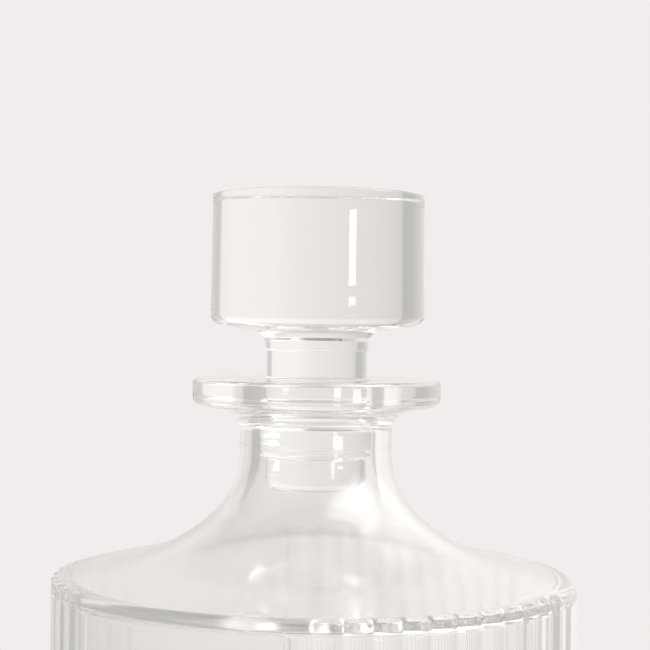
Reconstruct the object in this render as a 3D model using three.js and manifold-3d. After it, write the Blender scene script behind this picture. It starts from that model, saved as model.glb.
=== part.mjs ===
// Whisky decanter: a reeded glass bottle, a solid glass stopper and the clear seal on its plug.
// Millimetres, +Z up. The origin is the middle of the base, on the surface the bottle stands on.
// One of the three smooth pads on the reeded wall faces -Y.
import * as THREE from 'three';
import { mergeVertices } from 'three/addons/utils/BufferGeometryUtils.js';
import Module from 'manifold-3d';

// Bottle, outside
const bodyRadius = 54.4; // the wall between the reeds
const heelFillet = 4;
const standingWidth = 9; // flat ring that the bottle stands on
const puntDepth = 2; // hollow under the base, inside the standing ring
const puntSlope = 35; // degrees
const shoulderHeight = 119.1; // where the wall and the shoulder's slope would meet
const shoulderSlope = 12.6; // degrees
const rimFillet = 2.3;
const lowerSweep = 37.2; // radius of the sweep that rises from the shoulder
const upperSweep = 17.2; // radius of the sweep that runs into the neck
const sweepAngle = 45; // degrees off the neck's wall, where the two sweeps meet
const neckRadius = 16.1;
const neckLength = 10.4; // from the end of the sweep to the flange's edge
const neckFillet = 4.5; // under the flange
const flangeRadius = 26.2;
const flangeThickness = 5.3;
const flangeUnderside = 12; // degrees
const flangeEdge = 1.8;

// Bottle, inside
const wall = 3.2;
const baseThickness = 10;
const floorFillet = 8;
const innerRimFillet = 2.5;
const boreRadius = 12;
const lipFillet = 1.2;

// Reeds and pads
const panelCount = 3; // smooth pads round the body, with a field of reeds between neighbours
const padWidth = 45.6; // along the wall
const padMargin = 3.8; // bare wall on each side of a pad
const padTopGap = 0.2; // below the rim's rounding
const padCorner = 1.5;
const reedsInField = 11;
const reedHeight = 0.6;
const reedLand = 0.5; // bare wall between two reeds
const reedOverrun = 1.4; // how far the reeds run up on the rim's rounding
const reedFootGap = 4; // above the heel's rounding
const reedRoot = 1; // how deep reeds and pads are sunk in the wall

// Stopper
const headRadius = 22.6; // at the lower edge
const headDraft = 0.25; // less radius at the top
const headHeight = 27.45;
const headUpperEdge = 0.6;
const headLowerEdge = 2.4;
const headUnderside = 8; // degrees
const headClearance = 11.4; // from the mouth to the head's lower edge
const collarStep = 0.4; // height of the step between the stem and the collar
const collarProud = 0.25; // how far the step stands out of the stem
const collarHeight = 2.45; // from the step to the crease under the head
const collarFlare = 14; // degrees off the stopper's axis
const creaseFlare = 52; // the same, above the crease
const creaseFillet = 3;
const stemHeight = 6; // bare stem above the mouth
const plugRadius = 10.6;
const plugDepth = 23.6; // below the mouth
const plugCorner = 3;

// Seal
const sealDepth = 7.5; // from the mouth to the seal's top
const sealHeight = 8.5;
const grooveDepth = 0.6; // seal's seat in the plug
const sealEdge = 0.5;
const fit = 0.3; // clearance between neighbours

// Facets
const bodySides = 60;
const stopperSides = 40;
const reedSides = 16;
const chordError = 0.15; // how far a rounded corner's facets may leave its arc

const degrees = Math.PI / 180;
const wasm = await Module();
wasm.setup();

// A profile whose corners [radius, height, fillet] are rounded.
function rounded(corners) {
  const spots = corners.map(([radius, height]) => new THREE.Vector2(radius, height));
  const reaches = corners.map(([, , fillet = 0], at) => fillet && fillet * Math.tan(turnAt(spots, at) / 2));
  return spots.flatMap((spot, at) => (reaches[at] ? roundedCorner(spots, reaches, at) : [spot]));
}

function turnAt(spots, at) {
  const before = spots[at].clone().sub(spots[at - 1]);
  const after = spots[at + 1].clone().sub(spots[at]);
  return before.angleTo(after);
}

// A fillet's arc takes no more of an edge than it can share with the fillet at the edge's other end.
function roundedCorner(spots, reaches, at) {
  const shared = [-1, 1].map((way) => {
    const edge = spots[at].distanceTo(spots[at + way]);
    return Math.min(1, edge / (reaches[at] + reaches[at + way]));
  });
  const reach = reaches[at] * Math.min(...shared);
  const turn = turnAt(spots, at);
  const radius = reach / Math.tan(turn / 2);
  const before = spots[at - 1].clone().sub(spots[at]).normalize();
  const after = spots[at + 1].clone().sub(spots[at]).normalize();
  const inward = before.clone().add(after).normalize();
  const centre = spots[at].clone().addScaledVector(inward, radius / Math.cos(turn / 2));
  const start = spots[at].clone().addScaledVector(before, reach);
  const side = -Math.sign(before.cross(after));
  const facet = 2 * Math.acos(Math.max(0, 1 - chordError / radius));
  const steps = Math.max(2, Math.ceil(turn / facet));
  const angles = Array.from({ length: steps + 1 }, (_, step) => side * turn * step / steps);
  return angles.map((angle) => start.clone().rotateAround(centre, angle));
}

// Makes a closed solid from a geometry whose triangles share no vertices yet.
function solid(geometry) {
  const bare = geometry.clone();
  bare.deleteAttribute('normal');
  bare.deleteAttribute('uv');
  const merged = mergeVertices(bare, 1e-4);
  const index = merged.index.array;
  const triangles = [];
  for (let at = 0; at < index.length; at += 3) {
    const [a, b, c] = index.subarray(at, at + 3);
    if (a !== b && b !== c && c !== a) triangles.push(a, b, c);
  }
  const vertProperties = new Float32Array(merged.attributes.position.array);
  const triVerts = Uint32Array.from(triangles);
  return new wasm.Manifold(new wasm.Mesh({ numProp: 3, vertProperties, triVerts }));
}

function turned(corners, sides) {
  return solid(new THREE.LatheGeometry(rounded(corners), sides).rotateX(Math.PI / 2));
}

function drum(radius, low, high, sides) {
  const geometry = new THREE.CylinderGeometry(radius, radius, high - low, sides);
  return solid(geometry.rotateX(Math.PI / 2).translate(0, 0, (low + high) / 2));
}

function piece(name, body, material) {
  const mesh = body.getMesh();
  const geometry = new THREE.BufferGeometry();
  geometry.setAttribute('position', new THREE.BufferAttribute(mesh.vertProperties, 3));
  geometry.setIndex(new THREE.BufferAttribute(mesh.triVerts, 1));
  geometry.computeVertexNormals();
  const part = new THREE.Mesh(geometry, material);
  part.name = name;
  return part;
}

// Heights and corners of the bottle
const slope = Math.tan(shoulderSlope * degrees);
const lowerTurn = 90 - shoulderSlope - sweepAngle;
const upperReach = upperSweep * Math.tan(sweepAngle * degrees / 2);
const lowerReach = lowerSweep * Math.tan(lowerTurn * degrees / 2);
const sweepRun = upperReach + lowerReach;
const sweepRadius = neckRadius + sweepRun * Math.sin(sweepAngle * degrees);
const sweepFoot = shoulderHeight + (bodyRadius - sweepRadius) * slope;
const sweepHead = sweepFoot + sweepRun * Math.cos(sweepAngle * degrees);
const neckStart = sweepHead + upperReach;
const flangeHeight = neckStart + neckLength;
const mouthHeight = flangeHeight + flangeThickness;
const wallTop = shoulderHeight - rimFillet * Math.tan((90 - shoulderSlope) * degrees / 2);

function bottleOutside() {
  const standingRadius = bodyRadius - heelFillet;
  const puntRadius = standingRadius - standingWidth;
  const puntFlat = puntRadius - puntDepth / Math.tan(puntSlope * degrees);
  const neckFoot = flangeHeight - (flangeRadius - neckRadius) * Math.tan(flangeUnderside * degrees);
  return [
    [0, puntDepth],
    [puntFlat, puntDepth],
    [puntRadius, 0],
    [bodyRadius, 0, heelFillet],
    [bodyRadius, shoulderHeight, rimFillet],
    [sweepRadius, sweepFoot, lowerSweep],
    [neckRadius, sweepHead, upperSweep],
    [neckRadius, neckFoot, neckFillet],
    [flangeRadius, flangeHeight, flangeEdge],
    [flangeRadius, mouthHeight, flangeEdge],
  ];
}

// The inside keeps the wall's thickness from the outside, and the bore has its own radius.
function bottleInside() {
  const innerRadius = bodyRadius - wall;
  const shoulderDrop = wall / Math.cos(shoulderSlope * degrees);
  const innerShoulder = shoulderHeight + wall * slope - shoulderDrop;
  const steep = 1 / Math.tan(sweepAngle * degrees);
  const steepDrop = wall / Math.sin(sweepAngle * degrees);
  const boreFoot = sweepHead + (neckRadius - boreRadius) * steep - steepDrop;
  const overShoulder = boreFoot - innerShoulder - (innerRadius - boreRadius) * slope;
  const innerSweepRadius = boreRadius + overShoulder / (steep - slope);
  const innerSweepFoot = boreFoot - (innerSweepRadius - boreRadius) * steep;
  return [
    [boreRadius, mouthHeight, lipFillet],
    [boreRadius, boreFoot, upperSweep + wall],
    [innerSweepRadius, innerSweepFoot, lowerSweep + wall],
    [innerRadius, innerShoulder, innerRimFillet],
    [innerRadius, baseThickness, floorFillet],
    [0, baseThickness],
  ];
}

// Angles about the bottle's axis, counted from the middle of a pad
const panelTurn = 2 * Math.PI / panelCount;
const padTurn = padWidth / 2 / bodyRadius;
const fieldStart = padTurn + padMargin / bodyRadius;
const reedPitch = (panelTurn - 2 * fieldStart) / reedsInField;
const reedFoot = heelFillet + reedFootGap;

// One reed is a capsule sunk in the wall, so both of its ends run out in a round dome.
function reed() {
  const halfWidth = bodyRadius * Math.tan(reedPitch / 2) - reedLand / 2;
  const radius = (halfWidth ** 2 + reedHeight ** 2) / (2 * reedHeight);
  const top = wallTop + reedOverrun;
  const straight = top - reedFoot - 2 * halfWidth;
  const capsule = new THREE.CapsuleGeometry(radius, straight, reedSides / 4, reedSides);
  capsule.rotateX(Math.PI / 2);
  capsule.translate(0, -(bodyRadius + reedHeight - radius), (top + reedFoot) / 2);
  const core = drum(bodyRadius - reedRoot, reedFoot - radius, wallTop, bodySides);
  const shoulder = drum(bodyRadius - rimFillet, wallTop - reedRoot, top + radius, bodySides);
  return solid(capsule).subtract(core).subtract(shoulder);
}

// A pad is a plate with round corners, as proud as the reeds.
function pad() {
  const halfWidth = bodyRadius * Math.sin(padTurn);
  const top = wallTop - padTopGap;
  const outline = new THREE.Shape();
  outline.moveTo(-halfWidth, reedFoot + padCorner);
  outline.absarc(padCorner - halfWidth, reedFoot + padCorner, padCorner, Math.PI, 1.5 * Math.PI);
  outline.absarc(halfWidth - padCorner, reedFoot + padCorner, padCorner, 1.5 * Math.PI, 2 * Math.PI);
  outline.absarc(halfWidth - padCorner, top - padCorner, padCorner, 0, 0.5 * Math.PI);
  outline.absarc(padCorner - halfWidth, top - padCorner, padCorner, 0.5 * Math.PI, Math.PI);
  const depth = bodyRadius + reedHeight + reedRoot;
  const plate = new THREE.ExtrudeGeometry(outline, { depth, bevelEnabled: false, curveSegments: 4 });
  const face = drum(bodyRadius + reedHeight, reedFoot - reedRoot, top + reedRoot, bodySides);
  const core = drum(bodyRadius - reedRoot, reedFoot - reedRoot, top + reedRoot, bodySides);
  return solid(plate.rotateX(Math.PI / 2)).intersect(face).subtract(core);
}

function bottle() {
  const oneReed = reed();
  const onePad = pad();
  let body = turned([...bottleOutside(), ...bottleInside()], bodySides);
  for (let panel = 0; panel < panelCount; panel += 1) {
    const middle = panel * panelTurn;
    body = body.add(onePad.rotate([0, 0, middle / degrees]));
    for (let place = 0; place < reedsInField; place += 1) {
      const turn = middle + fieldStart + (place + 0.5) * reedPitch;
      body = body.add(oneReed.rotate([0, 0, turn / degrees]));
    }
  }
  return body;
}

// Heights of the stopper and the seal are counted from the bottle's mouth.
const sealTop = -sealDepth;
const sealFoot = sealTop - sealHeight;
const grooveRadius = plugRadius - grooveDepth;

function stopper() {
  const collarRadius = plugRadius + collarProud;
  const collarFoot = stemHeight + collarStep;
  const creaseRadius = collarRadius + collarHeight * Math.tan(collarFlare * degrees);
  const creaseHeight = collarFoot + collarHeight;
  const underside = Math.tan(headUnderside * degrees);
  const headOverCrease = headClearance - (headRadius - creaseRadius) * underside - creaseHeight;
  const flareRun = headOverCrease / (1 / Math.tan(creaseFlare * degrees) - underside);
  const headTop = headClearance + headHeight;
  return turned([
    [0, -plugDepth],
    [plugRadius, -plugDepth, plugCorner],
    [plugRadius, sealFoot - fit],
    [grooveRadius, sealFoot - fit],
    [grooveRadius, sealTop + fit],
    [plugRadius, sealTop + fit],
    [plugRadius, stemHeight],
    [collarRadius, collarFoot],
    [creaseRadius, creaseHeight],
    [creaseRadius + flareRun, creaseHeight + headOverCrease + flareRun * underside, creaseFillet],
    [headRadius, headClearance, headLowerEdge],
    [headRadius - headDraft, headTop, headUpperEdge],
    [0, headTop],
  ], stopperSides);
}

function seal() {
  const insideRadius = grooveRadius + fit;
  const outsideRadius = boreRadius - fit;
  const middle = (sealFoot + sealTop) / 2;
  return turned([
    [insideRadius, middle],
    [insideRadius, sealFoot, sealEdge],
    [outsideRadius, sealFoot, sealEdge],
    [outsideRadius, sealTop, sealEdge],
    [insideRadius, sealTop, sealEdge],
    [insideRadius, middle],
  ], stopperSides);
}

const glass = new THREE.MeshStandardMaterial({ color: 0xeef0ee, roughness: 0.03, metalness: 0 });
const clearSilicone = new THREE.MeshStandardMaterial({ color: 0xe6e8e5, roughness: 0.3, metalness: 0 });

const stopperSet = new THREE.Group();
stopperSet.position.z = mouthHeight;
stopperSet.add(piece('stopper', stopper(), glass), piece('stopper_seal', seal(), clearSilicone));

const decanter = new THREE.Group();
decanter.add(piece('bottle', bottle(), glass), stopperSet);

export default decanter;
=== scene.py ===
"""Looks of a clear glass whisky decanter: a reeded bottle, a solid stopper and the seal on its plug."""
import math

import bpy
import numpy as np
from mathutils import Matrix, Vector


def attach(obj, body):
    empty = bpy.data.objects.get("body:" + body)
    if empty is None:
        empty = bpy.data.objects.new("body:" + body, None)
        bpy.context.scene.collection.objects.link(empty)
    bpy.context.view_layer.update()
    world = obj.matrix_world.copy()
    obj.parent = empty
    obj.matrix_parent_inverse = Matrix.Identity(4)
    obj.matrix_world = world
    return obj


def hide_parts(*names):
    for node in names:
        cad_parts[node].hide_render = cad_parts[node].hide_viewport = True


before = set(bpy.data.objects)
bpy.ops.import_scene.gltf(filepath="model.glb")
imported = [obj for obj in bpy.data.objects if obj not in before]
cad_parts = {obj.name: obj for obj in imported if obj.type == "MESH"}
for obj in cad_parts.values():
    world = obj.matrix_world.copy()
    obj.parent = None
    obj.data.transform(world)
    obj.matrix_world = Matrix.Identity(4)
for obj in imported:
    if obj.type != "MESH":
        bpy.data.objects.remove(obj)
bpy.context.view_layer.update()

MM = 0.001

# Bottle, in millimetres
MOUTH = 160.3
BODY_RADIUS = 54.4
HEEL_FILLET = 4.0
STANDING_WIDTH = 9.0
PUNT_DEPTH = 2.0
PUNT_SLOPE = 35.0
PUNT_FILLET = 3.0
PUNT_EDGE = 1.0
SHOULDER_HEIGHT = 119.1
SHOULDER_SLOPE = 12.6
RIM_FILLET = 2.3
LOWER_SWEEP = 37.2
UPPER_SWEEP = 17.2
SWEEP_ANGLE = 45.0
NECK_RADIUS = 16.1
NECK_FILLET = 4.5
FLANGE_RADIUS = 26.2
FLANGE_THICKNESS = 5.3
FLANGE_UNDERSIDE = 12.0
FLANGE_EDGE = 1.8
FLANGE_TOP_EDGE = 1.0
WALL = 3.2
BASE_THICKNESS = 10.0
FLOOR_FILLET = 8.0
INNER_RIM_FILLET = 1.5
BORE_RADIUS = 12.0
LIP_FILLET = 1.2
SEAM_HEIGHT = 0.1
SEAM_WIDTH = 0.3
SOFT_TOP = 136.0
# Longest step between two rows of its mesh above the wall and inside
ROW_STEP = 2.0
# Largest gap between its arcs and the chords that stand for them
FINE_ERROR = 0.003

# Reeds and pads
PANELS = 3
PAD_WIDTH = 45.6
PAD_MARGIN = 3.8
PAD_TOP_GAP = 0.3
PAD_CORNER = 1.5
PAD_EDGE = 0.8
REEDS_IN_FIELD = 11
REED_HEIGHT = 0.6
REED_LAND = 0.5
REED_CORNER = 12.0
REED_FOOT_GAP = 4.0
REED_BLEND = 0.12

# Stopper and seal. Their heights are counted from the mouth.
HEAD_RADIUS = 22.6
HEAD_DRAFT = 0.25
HEAD_TOP = 38.85
HEAD_CLEARANCE = 11.4
HEAD_UPPER_EDGE = 0.5
HEAD_LOWER_EDGE = 2.4
HEAD_UNDERSIDE = 8.0
COLLAR_HEIGHT = 2.5
COLLAR_FLARE = 6.0
COLLAR_STEP = 0.3
CREASE_FLARE = 52.0
CREASE_FILLET = 3.0
COLLAR_PROUD = 0.35
STEM_HEIGHT = 6.0
PLUG_RADIUS = 10.6
PLUG_FOOT = -23.6
PLUG_CORNER = 3.0
GROOVE_DEPTH = 0.6
SEAL_FOOT = -16.0
SEAL_TOP = -7.5
SEAL_EDGE = 0.5
FIT = 0.3
SOFT_EDGE = 0.15
STEP_EDGE = 0.1
# Columns of the turned meshes
ROUND_COLUMNS = 256

# Camera: level, at the height of the gap under the stopper's head
VIEW_AZIMUTH = math.radians(28.1)
VIEW_DISTANCE = 0.3334
EYE_HEIGHT = 0.1717
SIDE_STEP = 0.0016
ROLL = math.radians(0.68)
FOCAL_PIXELS = 1575.0
PICTURE_PIXELS = 650.0
SENSOR = 36.0

# Background of the photograph, as linear light
BACKDROP = (0.879, 0.847, 0.838, 1.0)

# Studio that the glass sees: light level by azimuth, as view_direction counts it,
# and share of it by elevation
STUDIO_ROUND = [
    (-180, 0.80), (-130, 0.78), (-100, 0.66), (-75, 0.56), (-60, 0.54), (-39, 0.53), (-37.5, 0.70),
    (-25, 0.77), (-12, 0.815), (0, 0.855), (8, 0.90), (16, 0.95), (28, 0.965), (34, 0.985), (52, 0.985),
    (55, 0.70), (62, 0.62), (80, 0.60), (100, 0.70), (130, 0.78), (180, 0.80),
]
STUDIO_UP = [
    (-90, 0.85), (-20, 0.9), (-10, 1.0), (9, 1.0), (15, 1.13), (28, 1.13), (36, 0.88), (56, 0.8),
    (62, 0.45), (90, 0.45),
]
STUDIO_TINT = (1.0, 0.972, 0.955)
# Soft lights in it: azimuth, elevation, angle that is full, angle where it ends, added level
GLOWS = [(55, 45, 6, 26, 0.7), (106, 54, 14, 32, 3.2), (100, 30, 7, 17, 2.4)]

# Lamps, which face this height on the axis: name, azimuth, elevation, distance, width, height, radiance
LIT_HEIGHT = 0.16
LAMPS = [
    ("window", 143.5, 5.0, 1.24, 0.17, 0.074, 7.0),
    ("window_foot", 143.5, 2.6, 1.24, 0.17, 0.009, 6.0),
    ("window_low", 143.5, -4.5, 1.24, 0.17, 0.10, 6.0),
]

# Glass: colour where it is thin and where it is thick, heights between which that changes, and slow waves
GLASS_IOR = 1.5
BOTTLE_TINT = (0.990, 0.988, 0.980)
BOTTLE_THICK_TINT = (0.94, 0.95, 0.94)
BOTTLE_THICK_HEIGHTS = (25, 5)
BOTTLE_WAVE_DEPTH = 0.004
SOFT_BLUR = 0.09
STOPPER_TINT = (0.975, 0.973, 0.966)
STOPPER_THICK_TINT = (0.945, 0.943, 0.935)
STOPPER_THICK_HEIGHTS = (MOUTH + STEM_HEIGHT, MOUTH + HEAD_CLEARANCE + HEAD_LOWER_EDGE)
STOPPER_WAVE_DEPTH = 0.002
WAVE_SIZE = 20
STREAK_CONTRAST = 0.012
LIGHT_BOUNCES = 64

# Floor, which fades out before the camera's picture would show its rim
FLOOR_RADIUS = 0.26
FLOOR_FADE = 0.10
FLOOR_DROP = -0.0002
FLOOR_COLUMNS = 96
FLOOR_COLOUR = (0.80, 0.775, 0.76, 1.0)


def rounded(corners, error=0.006):
    """Profile through corners (radius, height, fillet), with arcs and a support point beside each arc."""
    spots = [Vector(corner[:2]) for corner in corners]
    fillets = [corner[2] if len(corner) > 2 else 0.0 for corner in corners]
    reaches = [fillet and fillet * math.tan(turn_at(spots, at) / 2) for at, fillet in enumerate(fillets)]
    points = []
    for at, fillet in enumerate(fillets):
        if not fillet:
            points.append(spots[at])
            continue
        before = (spots[at - 1] - spots[at]).normalized()
        after = (spots[at + 1] - spots[at]).normalized()
        turn = turn_at(spots, at)
        centre = spots[at] + (before + after).normalized() * (fillet / math.cos(turn / 2))
        steps = max(4, math.ceil(turn / (2 * math.acos(max(0.0, 1 - error / fillet)))))
        side = -math.copysign(1, before.x * after.y - before.y * after.x)
        start = spots[at] + before * reaches[at] - centre
        support = fillet * turn / steps
        if (spots[at - 1] - spots[at]).length - reaches[at] - reaches[at - 1] > 3 * support:
            points.append(spots[at] + before * (reaches[at] + support))
        for step in range(steps + 1):
            angle = side * turn * step / steps
            points.append(centre + Matrix.Rotation(angle, 2) @ start)
        if (spots[at + 1] - spots[at]).length - reaches[at] - reaches[at + 1] > 3 * support:
            points.append(spots[at] + after * (reaches[at] + support))
    return [point for at, point in enumerate(points) if not at or (point - points[at - 1]).length > 1e-4]


def filled(points, step):
    """The same profile with points added on its long straights."""
    full = points[:1]
    for point in points[1:]:
        pieces = max(1, math.ceil((point - full[-1]).length / step))
        full += [full[-1].lerp(point, (piece + 1) / pieces) for piece in range(pieces)]
    return full


def turn_at(spots, at):
    return math.pi - (spots[at - 1] - spots[at]).angle(spots[at + 1] - spots[at])


def revolved(name, profile, angles, bulge_at=None, height=0.0, slot_at=None):
    """
    Closed mesh of a profile turned about Z. bulge_at(point, angles) gives how far a ring stands out along a
    direction, and slot_at(low, high) the material slot of the band between two points.
    """
    closed = (profile[0] - profile[-1]).length < 1e-6
    points = profile[:-1] if closed else profile
    count = len(angles)
    sines, cosines = np.sin(angles), np.cos(angles)
    verts, rings = [], []
    for point in points:
        first = len(verts)
        if point.x < 1e-6:
            verts.append((0.0, 0.0, (point.y + height) * MM))
            rings.append([first] * count)
            continue
        bulge, direction = bulge_at(point, angles) if bulge_at else (np.zeros(count), Vector((1, 0)))
        radii = point.x + bulge * direction.x
        heights = point.y + height + bulge * direction.y
        verts.extend(zip(radii * sines * MM, -radii * cosines * MM, heights * MM))
        rings.append(list(range(first, first + count)))
    bands = list(zip(range(len(rings)), range(1, len(rings))))
    if closed:
        bands.append((len(rings) - 1, 0))
    faces, slots = [], []
    for low, high in bands:
        slot = slot_at(points[low], points[high]) if slot_at else 0
        for column in range(count):
            after = (column + 1) % count
            face = [rings[low][column], rings[low][after], rings[high][after], rings[high][column]]
            faces.append(list(dict.fromkeys(face)))
            slots.append(slot)
    mesh = bpy.data.meshes.new(name)
    mesh.from_pydata(verts, [], faces)
    mesh.polygons.foreach_set("use_smooth", [True] * len(faces))
    mesh.polygons.foreach_set("material_index", slots)
    mesh.update()
    thing = bpy.data.objects.new(name, mesh)
    bpy.context.scene.collection.objects.link(thing)
    return thing


def even_angles(count):
    return np.arange(count) * 2 * math.pi / count


# Worked-out sizes of the bottle
SLOPE = math.tan(math.radians(SHOULDER_SLOPE))
UPPER_REACH = UPPER_SWEEP * math.tan(math.radians(SWEEP_ANGLE) / 2)
LOWER_REACH = LOWER_SWEEP * math.tan(math.radians(90 - SHOULDER_SLOPE - SWEEP_ANGLE) / 2)
SWEEP_RUN = UPPER_REACH + LOWER_REACH
SWEEP_RADIUS = NECK_RADIUS + SWEEP_RUN * math.sin(math.radians(SWEEP_ANGLE))
SWEEP_FOOT = SHOULDER_HEIGHT + (BODY_RADIUS - SWEEP_RADIUS) * SLOPE
SWEEP_HEAD = SWEEP_FOOT + SWEEP_RUN * math.cos(math.radians(SWEEP_ANGLE))
NECK_START = SWEEP_HEAD + UPPER_REACH
FLANGE_HEIGHT = MOUTH - FLANGE_THICKNESS
WALL_TOP = SHOULDER_HEIGHT - RIM_FILLET * math.tan(math.radians(90 - SHOULDER_SLOPE) / 2)
RIM_CENTRE = Vector((BODY_RADIUS - RIM_FILLET, WALL_TOP))
REED_FOOT = HEEL_FILLET + REED_FOOT_GAP
PAD_TOP = WALL_TOP - PAD_TOP_GAP

# Angles about the bottle's axis, counted from the middle of a pad
PANEL_TURN = 2 * math.pi / PANELS
PAD_TURN = PAD_WIDTH / 2 / BODY_RADIUS
FIELD_START = PAD_TURN + PAD_MARGIN / BODY_RADIUS
REED_PITCH = (PANEL_TURN - 2 * FIELD_START) / REEDS_IN_FIELD


def bottle_outside():
    punt_radius = BODY_RADIUS - HEEL_FILLET - STANDING_WIDTH
    punt_flat = punt_radius - PUNT_DEPTH / math.tan(math.radians(PUNT_SLOPE))
    neck_foot = FLANGE_HEIGHT - (FLANGE_RADIUS - NECK_RADIUS) * math.tan(math.radians(FLANGE_UNDERSIDE))
    lower = rounded([
        (0, PUNT_DEPTH),
        (punt_flat, PUNT_DEPTH, PUNT_FILLET),
        (punt_radius, 0, PUNT_EDGE),
        (BODY_RADIUS, 0, HEEL_FILLET),
        (BODY_RADIUS, REED_FOOT),
    ])[:-1]
    upper = rounded([
        (BODY_RADIUS, WALL_TOP - 1),
        (BODY_RADIUS, SHOULDER_HEIGHT, RIM_FILLET),
        (SWEEP_RADIUS, SWEEP_FOOT, LOWER_SWEEP),
        (NECK_RADIUS, SWEEP_HEAD, UPPER_SWEEP),
        (NECK_RADIUS, neck_foot, NECK_FILLET),
        (FLANGE_RADIUS, FLANGE_HEIGHT, FLANGE_EDGE),
        (FLANGE_RADIUS, MOUTH, FLANGE_TOP_EDGE),
        (BORE_RADIUS, MOUTH, LIP_FILLET),
        (BORE_RADIUS, MOUTH - 4 * LIP_FILLET),
    ], FINE_ERROR)[1:-1]
    return lower + wall_rows(lower[-1].y, upper[0].y) + seam_rows(filled(upper, ROW_STEP))


def wall_rows(low, high):
    """Rows of the reeded wall: close together where the reeds and the pads end, wide apart between."""
    dome = REED_FOOT - 0.5 + 3.6 * np.linspace(0, 1, 15) ** 1.3
    pad_edge = PAD_TOP - PAD_CORNER * np.linspace(-0.1, 1.3, 15)
    lower = REED_FOOT + np.array([4.2, 6, 10])
    middle = np.linspace(REED_FOOT + 14, PAD_TOP - 8, 9)
    upper = PAD_TOP - np.array([5, 3.2])
    heights = np.unique(np.round(np.concatenate([dome, lower, middle, upper, pad_edge]), 3))
    return [Vector((BODY_RADIUS, z)) for z in heights if low + 0.02 < z < high - 0.02]


def seam_rows(points):
    """Adds the rows of the mould seam where the sweep runs into the neck."""
    offsets = np.linspace(-3, 3, 13) * SEAM_WIDTH
    rises = SEAM_HEIGHT * np.exp(-(offsets / SEAM_WIDTH) ** 2)
    seam = [Vector((NECK_RADIUS + rise, NECK_START + 1 + off)) for rise, off in zip(rises, offsets)]
    at = max(i for i, p in enumerate(points) if p.y <= NECK_START + 0.01 and p.x > NECK_RADIUS - 0.01)
    keep_low = [p for p in points[:at + 1] if p.y < seam[0].y]
    keep_high = [p for p in points[at + 1:] if p.y > seam[-1].y or p.x < BORE_RADIUS + LIP_FILLET + 0.5]
    return keep_low + seam + keep_high


def bottle_inside():
    inner_radius = BODY_RADIUS - WALL
    shoulder_drop = WALL / math.cos(math.radians(SHOULDER_SLOPE))
    inner_shoulder = SHOULDER_HEIGHT + WALL * SLOPE - shoulder_drop
    steep = 1 / math.tan(math.radians(SWEEP_ANGLE))
    bore_foot = SWEEP_HEAD + (NECK_RADIUS - BORE_RADIUS) * steep - WALL / math.sin(math.radians(SWEEP_ANGLE))
    over_shoulder = bore_foot - inner_shoulder - (inner_radius - BORE_RADIUS) * SLOPE
    inner_sweep_radius = BORE_RADIUS + over_shoulder / (steep - SLOPE)
    inner_sweep_foot = bore_foot - (inner_sweep_radius - BORE_RADIUS) * steep
    return filled(rounded([
        (BORE_RADIUS, MOUTH - 5 * LIP_FILLET),
        (BORE_RADIUS, bore_foot, UPPER_SWEEP + WALL),
        (inner_sweep_radius, inner_sweep_foot, LOWER_SWEEP + WALL),
        (inner_radius, inner_shoulder, INNER_RIM_FILLET),
        (inner_radius, BASE_THICKNESS, FLOOR_FILLET),
        (0, BASE_THICKNESS),
    ]), ROW_STEP)


def from_pad(angles):
    """Angle to the middle of the nearest pad, without its sign."""
    return np.abs(np.mod(angles + PANEL_TURN / 2, PANEL_TURN) - PANEL_TURN / 2)


def reed_bulge(angles, along):
    """How far reeds stand out at a height on the wall: each is a bar sunk in it, with a round foot."""
    half_width = BODY_RADIUS * math.tan(REED_PITCH / 2) - REED_LAND / 2
    radius = (half_width ** 2 + REED_HEIGHT ** 2) / (2 * REED_HEIGHT)
    centre = BODY_RADIUS + REED_HEIGHT - radius
    past = max((REED_FOOT + half_width) - along, 0.0)
    into_field = from_pad(angles) - FIELD_START
    offset = np.mod(into_field, REED_PITCH) - REED_PITCH / 2
    inside = radius ** 2 - past ** 2 - (centre * np.sin(offset)) ** 2
    bulge = centre * np.cos(offset) + np.sqrt(np.maximum(inside, 0)) - BODY_RADIUS
    return np.where((inside > 0) & (into_field > 0), bulge, -1.0)


def pad_bulge(angles, along):
    """How far the smooth pads stand out of the wall: plates with round corners and soft edges."""
    middle, half_height = (PAD_TOP + REED_FOOT) / 2, (PAD_TOP - REED_FOOT) / 2
    dx = BODY_RADIUS * (from_pad(angles) - PAD_TURN) + PAD_CORNER
    dz = abs(along - middle) - (half_height - PAD_CORNER)
    outside = np.hypot(np.maximum(dx, 0), max(dz, 0.0)) + np.minimum(np.maximum(dx, dz), 0) - PAD_CORNER
    rise = np.clip(-outside / PAD_EDGE, 0, 1)
    return REED_HEIGHT * np.sqrt(1 - (1 - rise) ** 2)


def soft_max(a, b, width):
    mix = np.maximum(width - np.abs(a - b), 0) / width
    return np.maximum(a, b) + mix ** 2 * width / 4


def rim_reach(turn):
    """How far a reed's crest stands out of the rim's rounding: it runs straight up to a corner of its own."""
    front = (RIM_FILLET + REED_HEIGHT) / math.cos(turn)
    top = RIM_FILLET / math.cos(math.radians(90 - SHOULDER_SLOPE) - turn)
    return (front ** -REED_CORNER + top ** -REED_CORNER) ** (-1 / REED_CORNER) - RIM_FILLET


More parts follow.
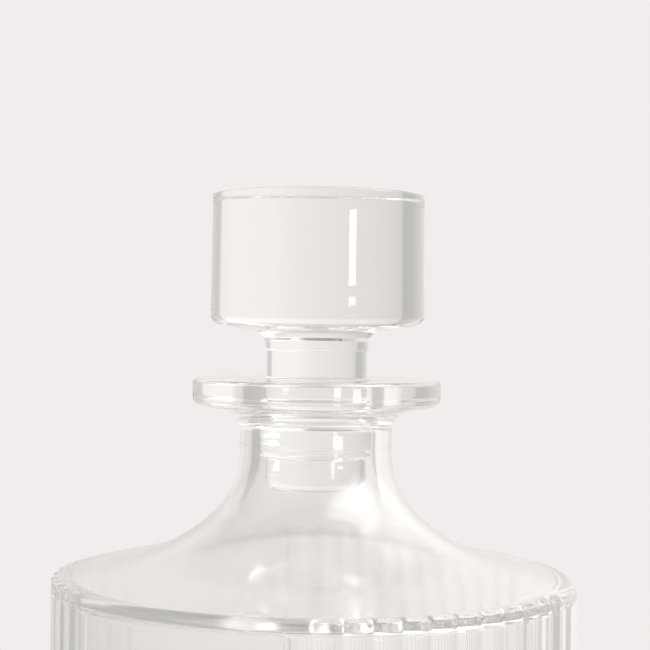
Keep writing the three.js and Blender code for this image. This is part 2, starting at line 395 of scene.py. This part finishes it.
def wall_bulge(point, angles):
    """Reeds and pads on the wall, and the reeds' upper ends on its rim."""
    plain = np.zeros(len(angles))
    if abs(point.x - BODY_RADIUS) < 0.001 and REED_FOOT - 1 < point.y <= WALL_TOP:
        reeds = soft_max(plain, reed_bulge(angles, point.y), REED_BLEND)
        return np.maximum(reeds, pad_bulge(angles, point.y)), Vector((1, 0))
    from_rim = point - RIM_CENTRE
    over_wall = point.x > BODY_RADIUS - WALL and point.y > WALL_TOP
    if over_wall and abs(from_rim.length - RIM_FILLET) < 0.001:
        direction = from_rim.normalized()
        reach = rim_reach(math.atan2(direction.y, direction.x))
        reeds = soft_max(plain, reed_bulge(angles, WALL_TOP), REED_BLEND)
        return reeds / REED_HEIGHT * max(reach, 0.0), direction
    return plain, Vector((1, 0))


def bottle_angles():
    """Columns round the bottle: ten to a reed, closer at the valleys and at the pads' edges."""
    steps = np.array([0, 0.06, 0.14, 0.25, 0.38, 0.5, 0.62, 0.75, 0.86, 0.94])
    reeds = FIELD_START + (np.arange(REEDS_IN_FIELD)[:, None] + steps[None, :]).ravel() * REED_PITCH
    last = np.array([PANEL_TURN - FIELD_START])
    face = np.linspace(-1, 1, 21) * (PAD_TURN - PAD_EDGE / BODY_RADIUS)
    edge = PAD_TURN - np.linspace(-0.1, 1.1, 9) * PAD_EDGE / BODY_RADIUS
    corner = PAD_TURN - np.array([0.4, 0.7]) * PAD_CORNER / BODY_RADIUS
    margin = PAD_TURN + np.array([0.35, 0.7]) * PAD_MARGIN / BODY_RADIUS
    one = np.concatenate([reeds, last, face, edge, -edge, corner, -corner, margin, -margin])
    columns = np.mod((np.arange(PANELS)[:, None] * PANEL_TURN + one[None, :]).ravel(), 2 * math.pi)
    columns = np.unique(np.round(columns, 5))
    return columns[np.concatenate([[True], np.diff(columns) > 2e-4])]


def make_bottle():
    outside, inside = bottle_outside(), bottle_inside()
    shoulder = [point for point in outside if point.x < BODY_RADIUS - RIM_FILLET and point.y > WALL_TOP]
    soft = [point for point in inside + shoulder if point.y < SOFT_TOP]
    return revolved("bottle_fine", outside + inside, bottle_angles(), wall_bulge,
                    slot_at=lambda low, high: int(low in soft and high in soft))


def make_stopper():
    collar = PLUG_RADIUS + COLLAR_PROUD
    crease = collar + COLLAR_HEIGHT * math.tan(math.radians(COLLAR_FLARE))
    crease_height = STEM_HEIGHT + COLLAR_STEP + COLLAR_HEIGHT
    underside = math.tan(math.radians(HEAD_UNDERSIDE))
    head_over_crease = HEAD_CLEARANCE - (HEAD_RADIUS - crease) * underside - crease_height
    flare_run = head_over_crease / (1 / math.tan(math.radians(CREASE_FLARE)) - underside)
    groove = PLUG_RADIUS - GROOVE_DEPTH
    profile = rounded([
        (0, PLUG_FOOT),
        (PLUG_RADIUS, PLUG_FOOT, PLUG_CORNER),
        (PLUG_RADIUS, SEAL_FOOT - FIT, SOFT_EDGE),
        (groove, SEAL_FOOT - FIT, SOFT_EDGE),
        (groove, SEAL_TOP + FIT, SOFT_EDGE),
        (PLUG_RADIUS, SEAL_TOP + FIT, SOFT_EDGE),
        (PLUG_RADIUS, STEM_HEIGHT, STEP_EDGE),
        (collar, STEM_HEIGHT + COLLAR_STEP, STEP_EDGE),
        (crease, crease_height, SOFT_EDGE),
        (crease + flare_run, crease_height + head_over_crease + flare_run * underside, CREASE_FILLET),
        (HEAD_RADIUS, HEAD_CLEARANCE, HEAD_LOWER_EDGE),
        (HEAD_RADIUS - HEAD_DRAFT, HEAD_TOP, HEAD_UPPER_EDGE),
        (0, HEAD_TOP),
    ])

    def slot_at(low, high):
        in_groove = max(low.x, high.x) < groove + 0.001
        return int(in_groove and SEAL_FOOT < max(low.y, high.y) and min(low.y, high.y) < SEAL_TOP)

    return revolved("stopper_fine", profile, even_angles(ROUND_COLUMNS), height=MOUTH, slot_at=slot_at)


def make_seal():
    inside = PLUG_RADIUS - GROOVE_DEPTH + FIT
    outside = BORE_RADIUS - FIT
    middle = (inside, (SEAL_FOOT + SEAL_TOP) / 2)
    profile = rounded([
        middle,
        (inside, SEAL_FOOT, SOFT_EDGE),
        (outside, SEAL_FOOT, SEAL_EDGE),
        (outside, SEAL_TOP, SEAL_EDGE),
        (inside, SEAL_TOP, SOFT_EDGE),
        middle,
    ])

    def slot_at(low, high):
        return int(max(low.x, high.x) < inside + 0.001)

    return revolved("seal_fine", profile, even_angles(ROUND_COLUMNS), height=MOUTH, slot_at=slot_at)


def material(name):
    made = bpy.data.materials.new(name)
    made.use_nodes = True
    nodes = made.node_tree.nodes
    return made, nodes, made.node_tree.links, nodes["Principled BSDF"]


def glass(name, tint, thick_tint, thick_heights, wave_depth, blur=0.0):
    """Clear glass with a faint uneven tint, stronger where it turns thick, and soft waves."""
    made, nodes, links, shader = material(name)
    shader.inputs["Transmission Weight"].default_value = 1.0
    shader.inputs["IOR"].default_value = GLASS_IOR
    shader.inputs["Roughness"].default_value = blur
    place = nodes.new("ShaderNodeTexCoord")
    streaks = nodes.new("ShaderNodeTexNoise")
    streaks.inputs["Scale"].default_value = 40.0
    streaks.inputs["Detail"].default_value = 3.0
    links.new(place.outputs["Object"], streaks.inputs["Vector"])
    parts = nodes.new("ShaderNodeSeparateXYZ")
    links.new(place.outputs["Object"], parts.inputs["Vector"])
    thick = nodes.new("ShaderNodeMapRange")
    thick.interpolation_type = "SMOOTHSTEP"
    thick.inputs["From Min"].default_value = thick_heights[0] * MM
    thick.inputs["From Max"].default_value = thick_heights[1] * MM
    links.new(parts.outputs["Z"], thick.inputs["Value"])
    colours = []
    for shade in (tint, thick_tint):
        ramp = nodes.new("ShaderNodeValToRGB")
        ramp.color_ramp.elements[0].color = (*[level - STREAK_CONTRAST for level in shade], 1)
        ramp.color_ramp.elements[1].color = (*shade, 1)
        links.new(streaks.outputs["Fac"], ramp.inputs["Fac"])
        colours.append(ramp)
    mix = nodes.new("ShaderNodeMix")
    mix.data_type = "RGBA"
    links.new(thick.outputs["Result"], mix.inputs["Factor"])
    links.new(colours[0].outputs["Color"], mix.inputs["A"])
    links.new(colours[1].outputs["Color"], mix.inputs["B"])
    links.new(mix.outputs["Result"], shader.inputs["Base Color"])
    waves = nodes.new("ShaderNodeTexNoise")
    waves.inputs["Scale"].default_value = 1 / (WAVE_SIZE * MM)
    waves.inputs["Detail"].default_value = 1.0
    bump = nodes.new("ShaderNodeBump")
    bump.inputs["Strength"].default_value = 1.0
    bump.inputs["Distance"].default_value = wave_depth * MM
    links.new(place.outputs["Object"], waves.inputs["Vector"])
    links.new(waves.outputs["Fac"], bump.inputs["Height"])
    links.new(bump.outputs["Normal"], shader.inputs["Normal"])
    return made


def clear_seal():
    """Soft clear seal: almost as clear as the glass, with a fine moulded grain."""
    made, nodes, links, shader = material("clear_seal")
    shader.inputs["Transmission Weight"].default_value = 1.0
    shader.inputs["IOR"].default_value = GLASS_IOR
    place = nodes.new("ShaderNodeTexCoord")
    grain = nodes.new("ShaderNodeTexNoise")
    grain.inputs["Scale"].default_value = 900.0
    grain.inputs["Detail"].default_value = 2.0
    rough = nodes.new("ShaderNodeMapRange")
    rough.inputs["To Min"].default_value = 0.0
    rough.inputs["To Max"].default_value = 0.06
    colours = nodes.new("ShaderNodeValToRGB")
    colours.color_ramp.elements[0].color = (0.985, 0.985, 0.98, 1)
    colours.color_ramp.elements[1].color = (1.0, 1.0, 0.995, 1)
    links.new(place.outputs["Object"], grain.inputs["Vector"])
    links.new(grain.outputs["Fac"], rough.inputs["Value"])
    links.new(grain.outputs["Fac"], colours.inputs["Fac"])
    links.new(rough.outputs["Result"], shader.inputs["Roughness"])
    links.new(colours.outputs["Color"], shader.inputs["Base Color"])
    return made


def wet_contact():
    """Face where the seal clings to the plug, so light passes without bending."""
    made, nodes, links, shader = material("wet_contact")
    shader.inputs["Transmission Weight"].default_value = 1.0
    shader.inputs["IOR"].default_value = 1.0
    shader.inputs["Roughness"].default_value = 0.0
    shader.inputs["Base Color"].default_value = (1.0, 1.0, 1.0, 1.0)
    return made


def add_camera():
    back = Vector((math.sin(VIEW_AZIMUTH), -math.cos(VIEW_AZIMUTH), 0))
    right = Vector((math.cos(VIEW_AZIMUTH), math.sin(VIEW_AZIMUTH), 0))
    up = Vector((0, 0, 1))
    turn = Matrix((right, up, back)).transposed() @ Matrix.Rotation(ROLL, 3, "Z")
    data = bpy.data.cameras.new("camera")
    data.sensor_width = SENSOR
    data.lens = SENSOR * FOCAL_PIXELS / PICTURE_PIXELS
    data.clip_start = 0.01
    camera = bpy.data.objects.new("camera", data)
    eye = back * VIEW_DISTANCE + right * SIDE_STEP + up * EYE_HEIGHT
    camera.matrix_world = Matrix.Translation(eye) @ turn.to_4x4()
    bpy.context.scene.collection.objects.link(camera)
    bpy.context.scene.camera = camera


def view_direction(azimuth, elevation):
    """Unit vector. Azimuth 0 points straight away from the camera, and grows towards the picture's right."""
    turn = math.radians(azimuth) - VIEW_AZIMUTH
    flat = math.cos(math.radians(elevation))
    return Vector((flat * math.sin(turn), flat * math.cos(turn), math.sin(math.radians(elevation))))


def add_lamp(name, azimuth, elevation, distance, width, height, radiance):
    data = bpy.data.lights.new(name, "AREA")
    data.shape = "RECTANGLE"
    data.size = width
    data.size_y = height
    data.energy = radiance * math.pi * width * height
    lamp = bpy.data.objects.new(name, data)
    toward = view_direction(azimuth, elevation)
    lamp.location = Vector((0, 0, LIT_HEIGHT)) + toward * distance
    lamp.rotation_euler = toward.to_track_quat("Z", "Y").to_euler()
    bpy.context.scene.collection.objects.link(lamp)


def add_world():
    """Plain backdrop for the camera. The glass sees a studio, lighter behind it and darker at the sides."""
    world = bpy.data.worlds.new("studio")
    bpy.context.scene.world = world
    world.use_nodes = True
    nodes, links = world.node_tree.nodes, world.node_tree.links
    place = nodes.new("ShaderNodeTexCoord")
    turned = nodes.new("ShaderNodeVectorRotate")
    turned.rotation_type = "Z_AXIS"
    turned.inputs["Angle"].default_value = -VIEW_AZIMUTH
    parts = nodes.new("ShaderNodeSeparateXYZ")
    links.new(place.outputs["Generated"], turned.inputs["Vector"])
    links.new(turned.outputs["Vector"], parts.inputs["Vector"])
    azimuth = nodes.new("ShaderNodeMath")
    azimuth.operation = "ARCTAN2"
    links.new(parts.outputs["X"], azimuth.inputs[0])
    links.new(parts.outputs["Y"], azimuth.inputs[1])
    round_share = nodes.new("ShaderNodeMapRange")
    round_share.inputs["From Min"].default_value = -math.pi
    round_share.inputs["From Max"].default_value = math.pi
    links.new(azimuth.outputs["Value"], round_share.inputs["Value"])
    sides = nodes.new("ShaderNodeValToRGB")
    set_ramp(sides, [(0.5 + angle / 360, level) for angle, level in STUDIO_ROUND], STUDIO_TINT)
    links.new(round_share.outputs["Result"], sides.inputs["Fac"])
    up_share = nodes.new("ShaderNodeMapRange")
    up_share.inputs["From Min"].default_value = -1.0
    links.new(parts.outputs["Z"], up_share.inputs["Value"])
    heights = nodes.new("ShaderNodeValToRGB")
    set_ramp(heights, [(0.5 + math.sin(math.radians(angle)) / 2, level) for angle, level in STUDIO_UP])
    links.new(up_share.outputs["Result"], heights.inputs["Fac"])
    studio = nodes.new("ShaderNodeMix")
    studio.data_type = "RGBA"
    studio.blend_type = "MULTIPLY"
    studio.inputs["Factor"].default_value = 1.0
    links.new(sides.outputs["Color"], studio.inputs["A"])
    links.new(heights.outputs["Color"], studio.inputs["B"])
    light = studio.outputs["Result"]
    for azimuth_angle, elevation, full, end, level in GLOWS:
        toward = view_direction(azimuth_angle, elevation)
        light = add_glow(nodes, links, place, light, toward, full, end, level)
    light_path = nodes.new("ShaderNodeLightPath")
    seen = nodes.new("ShaderNodeMix")
    seen.data_type = "RGBA"
    seen.inputs["B"].default_value = BACKDROP
    links.new(light_path.outputs["Is Camera Ray"], seen.inputs["Factor"])
    links.new(light, seen.inputs["A"])
    links.new(seen.outputs["Result"], nodes["Background"].inputs["Color"])


def add_glow(nodes, links, place, light, toward, full, end, level):
    """Adds a round soft light to the world, and returns the sum."""
    facing = nodes.new("ShaderNodeVectorMath")
    facing.operation = "DOT_PRODUCT"
    facing.inputs[1].default_value = toward
    links.new(place.outputs["Generated"], facing.inputs[0])
    fade = nodes.new("ShaderNodeMapRange")
    fade.interpolation_type = "SMOOTHSTEP"
    fade.inputs["From Min"].default_value = math.cos(math.radians(end))
    fade.inputs["From Max"].default_value = math.cos(math.radians(full))
    fade.inputs["To Max"].default_value = level
    links.new(facing.outputs["Value"], fade.inputs["Value"])
    total = nodes.new("ShaderNodeMix")
    total.data_type = "RGBA"
    total.blend_type = "ADD"
    total.inputs["Factor"].default_value = 1.0
    links.new(light, total.inputs["A"])
    links.new(fade.outputs["Result"], total.inputs["B"])
    return total.outputs["Result"]


def add_floor():
    """Pale round floor that fades out towards its rim."""
    mesh = bpy.data.meshes.new("floor")
    turns = even_angles(FLOOR_COLUMNS)
    rim = zip(FLOOR_RADIUS * np.cos(turns), FLOOR_RADIUS * np.sin(turns), [FLOOR_DROP] * FLOOR_COLUMNS)
    mesh.from_pydata(list(rim), [], [list(range(FLOOR_COLUMNS))])
    floor = bpy.data.objects.new("floor", mesh)
    bpy.context.scene.collection.objects.link(floor)
    made, nodes, links, shader = material("floor")
    shader.inputs["Base Color"].default_value = FLOOR_COLOUR
    shader.inputs["Roughness"].default_value = 0.9
    shader.inputs["Specular IOR Level"].default_value = 0.1
    place = nodes.new("ShaderNodeTexCoord")
    length = nodes.new("ShaderNodeVectorMath")
    length.operation = "LENGTH"
    links.new(place.outputs["Object"], length.inputs[0])
    fade = nodes.new("ShaderNodeMapRange")
    fade.interpolation_type = "SMOOTHSTEP"
    fade.inputs["From Min"].default_value = FLOOR_FADE
    fade.inputs["From Max"].default_value = FLOOR_RADIUS
    links.new(length.outputs["Value"], fade.inputs["Value"])
    clear = nodes.new("ShaderNodeBsdfTransparent")
    mix = nodes.new("ShaderNodeMixShader")
    links.new(fade.outputs["Result"], mix.inputs["Fac"])
    links.new(shader.outputs["BSDF"], mix.inputs[1])
    links.new(clear.outputs["BSDF"], mix.inputs[2])
    links.new(mix.outputs["Shader"], nodes["Material Output"].inputs["Surface"])
    mesh.materials.append(made)


def set_ramp(ramp, stops, tint=(1, 1, 1)):
    """Gives a colour ramp its stops (place, level), in one tint."""
    elements = ramp.color_ramp.elements
    while len(elements) < len(stops):
        elements.new(1.0)
    for element, (place, level) in zip(elements, stops):
        element.position = place
        element.color = (*[level * share for share in tint], 1)


bottle = make_bottle()
stopper = make_stopper()
seal = make_seal()
contact = wet_contact()
for name, blur in (("bottle_glass", 0.0), ("soft_glass", SOFT_BLUR)):
    made = glass(name, BOTTLE_TINT, BOTTLE_THICK_TINT, BOTTLE_THICK_HEIGHTS, BOTTLE_WAVE_DEPTH, blur)
    bottle.data.materials.append(made)
stopper.data.materials.append(
    glass("stopper_glass", STOPPER_TINT, STOPPER_THICK_TINT, STOPPER_THICK_HEIGHTS, STOPPER_WAVE_DEPTH))
stopper.data.materials.append(contact)
seal.data.materials.append(clear_seal())
seal.data.materials.append(contact)
for thing, body, node, slot in (
    (bottle, "bottle", "bottle", "bottle_glass"),
    (stopper, "stopper", "stopper", "stopper_glass"),
    (seal, "seal", "stopper_seal", "clear_seal"),
):
    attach(thing, body)
    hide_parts(node)

add_camera()
add_world()
for lamp in LAMPS:
    add_lamp(*lamp)
add_floor()
scene = bpy.context.scene
scene.cycles.max_bounces = LIGHT_BOUNCES
scene.cycles.transmission_bounces = LIGHT_BOUNCES
scene.cycles.glossy_bounces = LIGHT_BOUNCES
scene.view_settings.view_transform = "Standard"
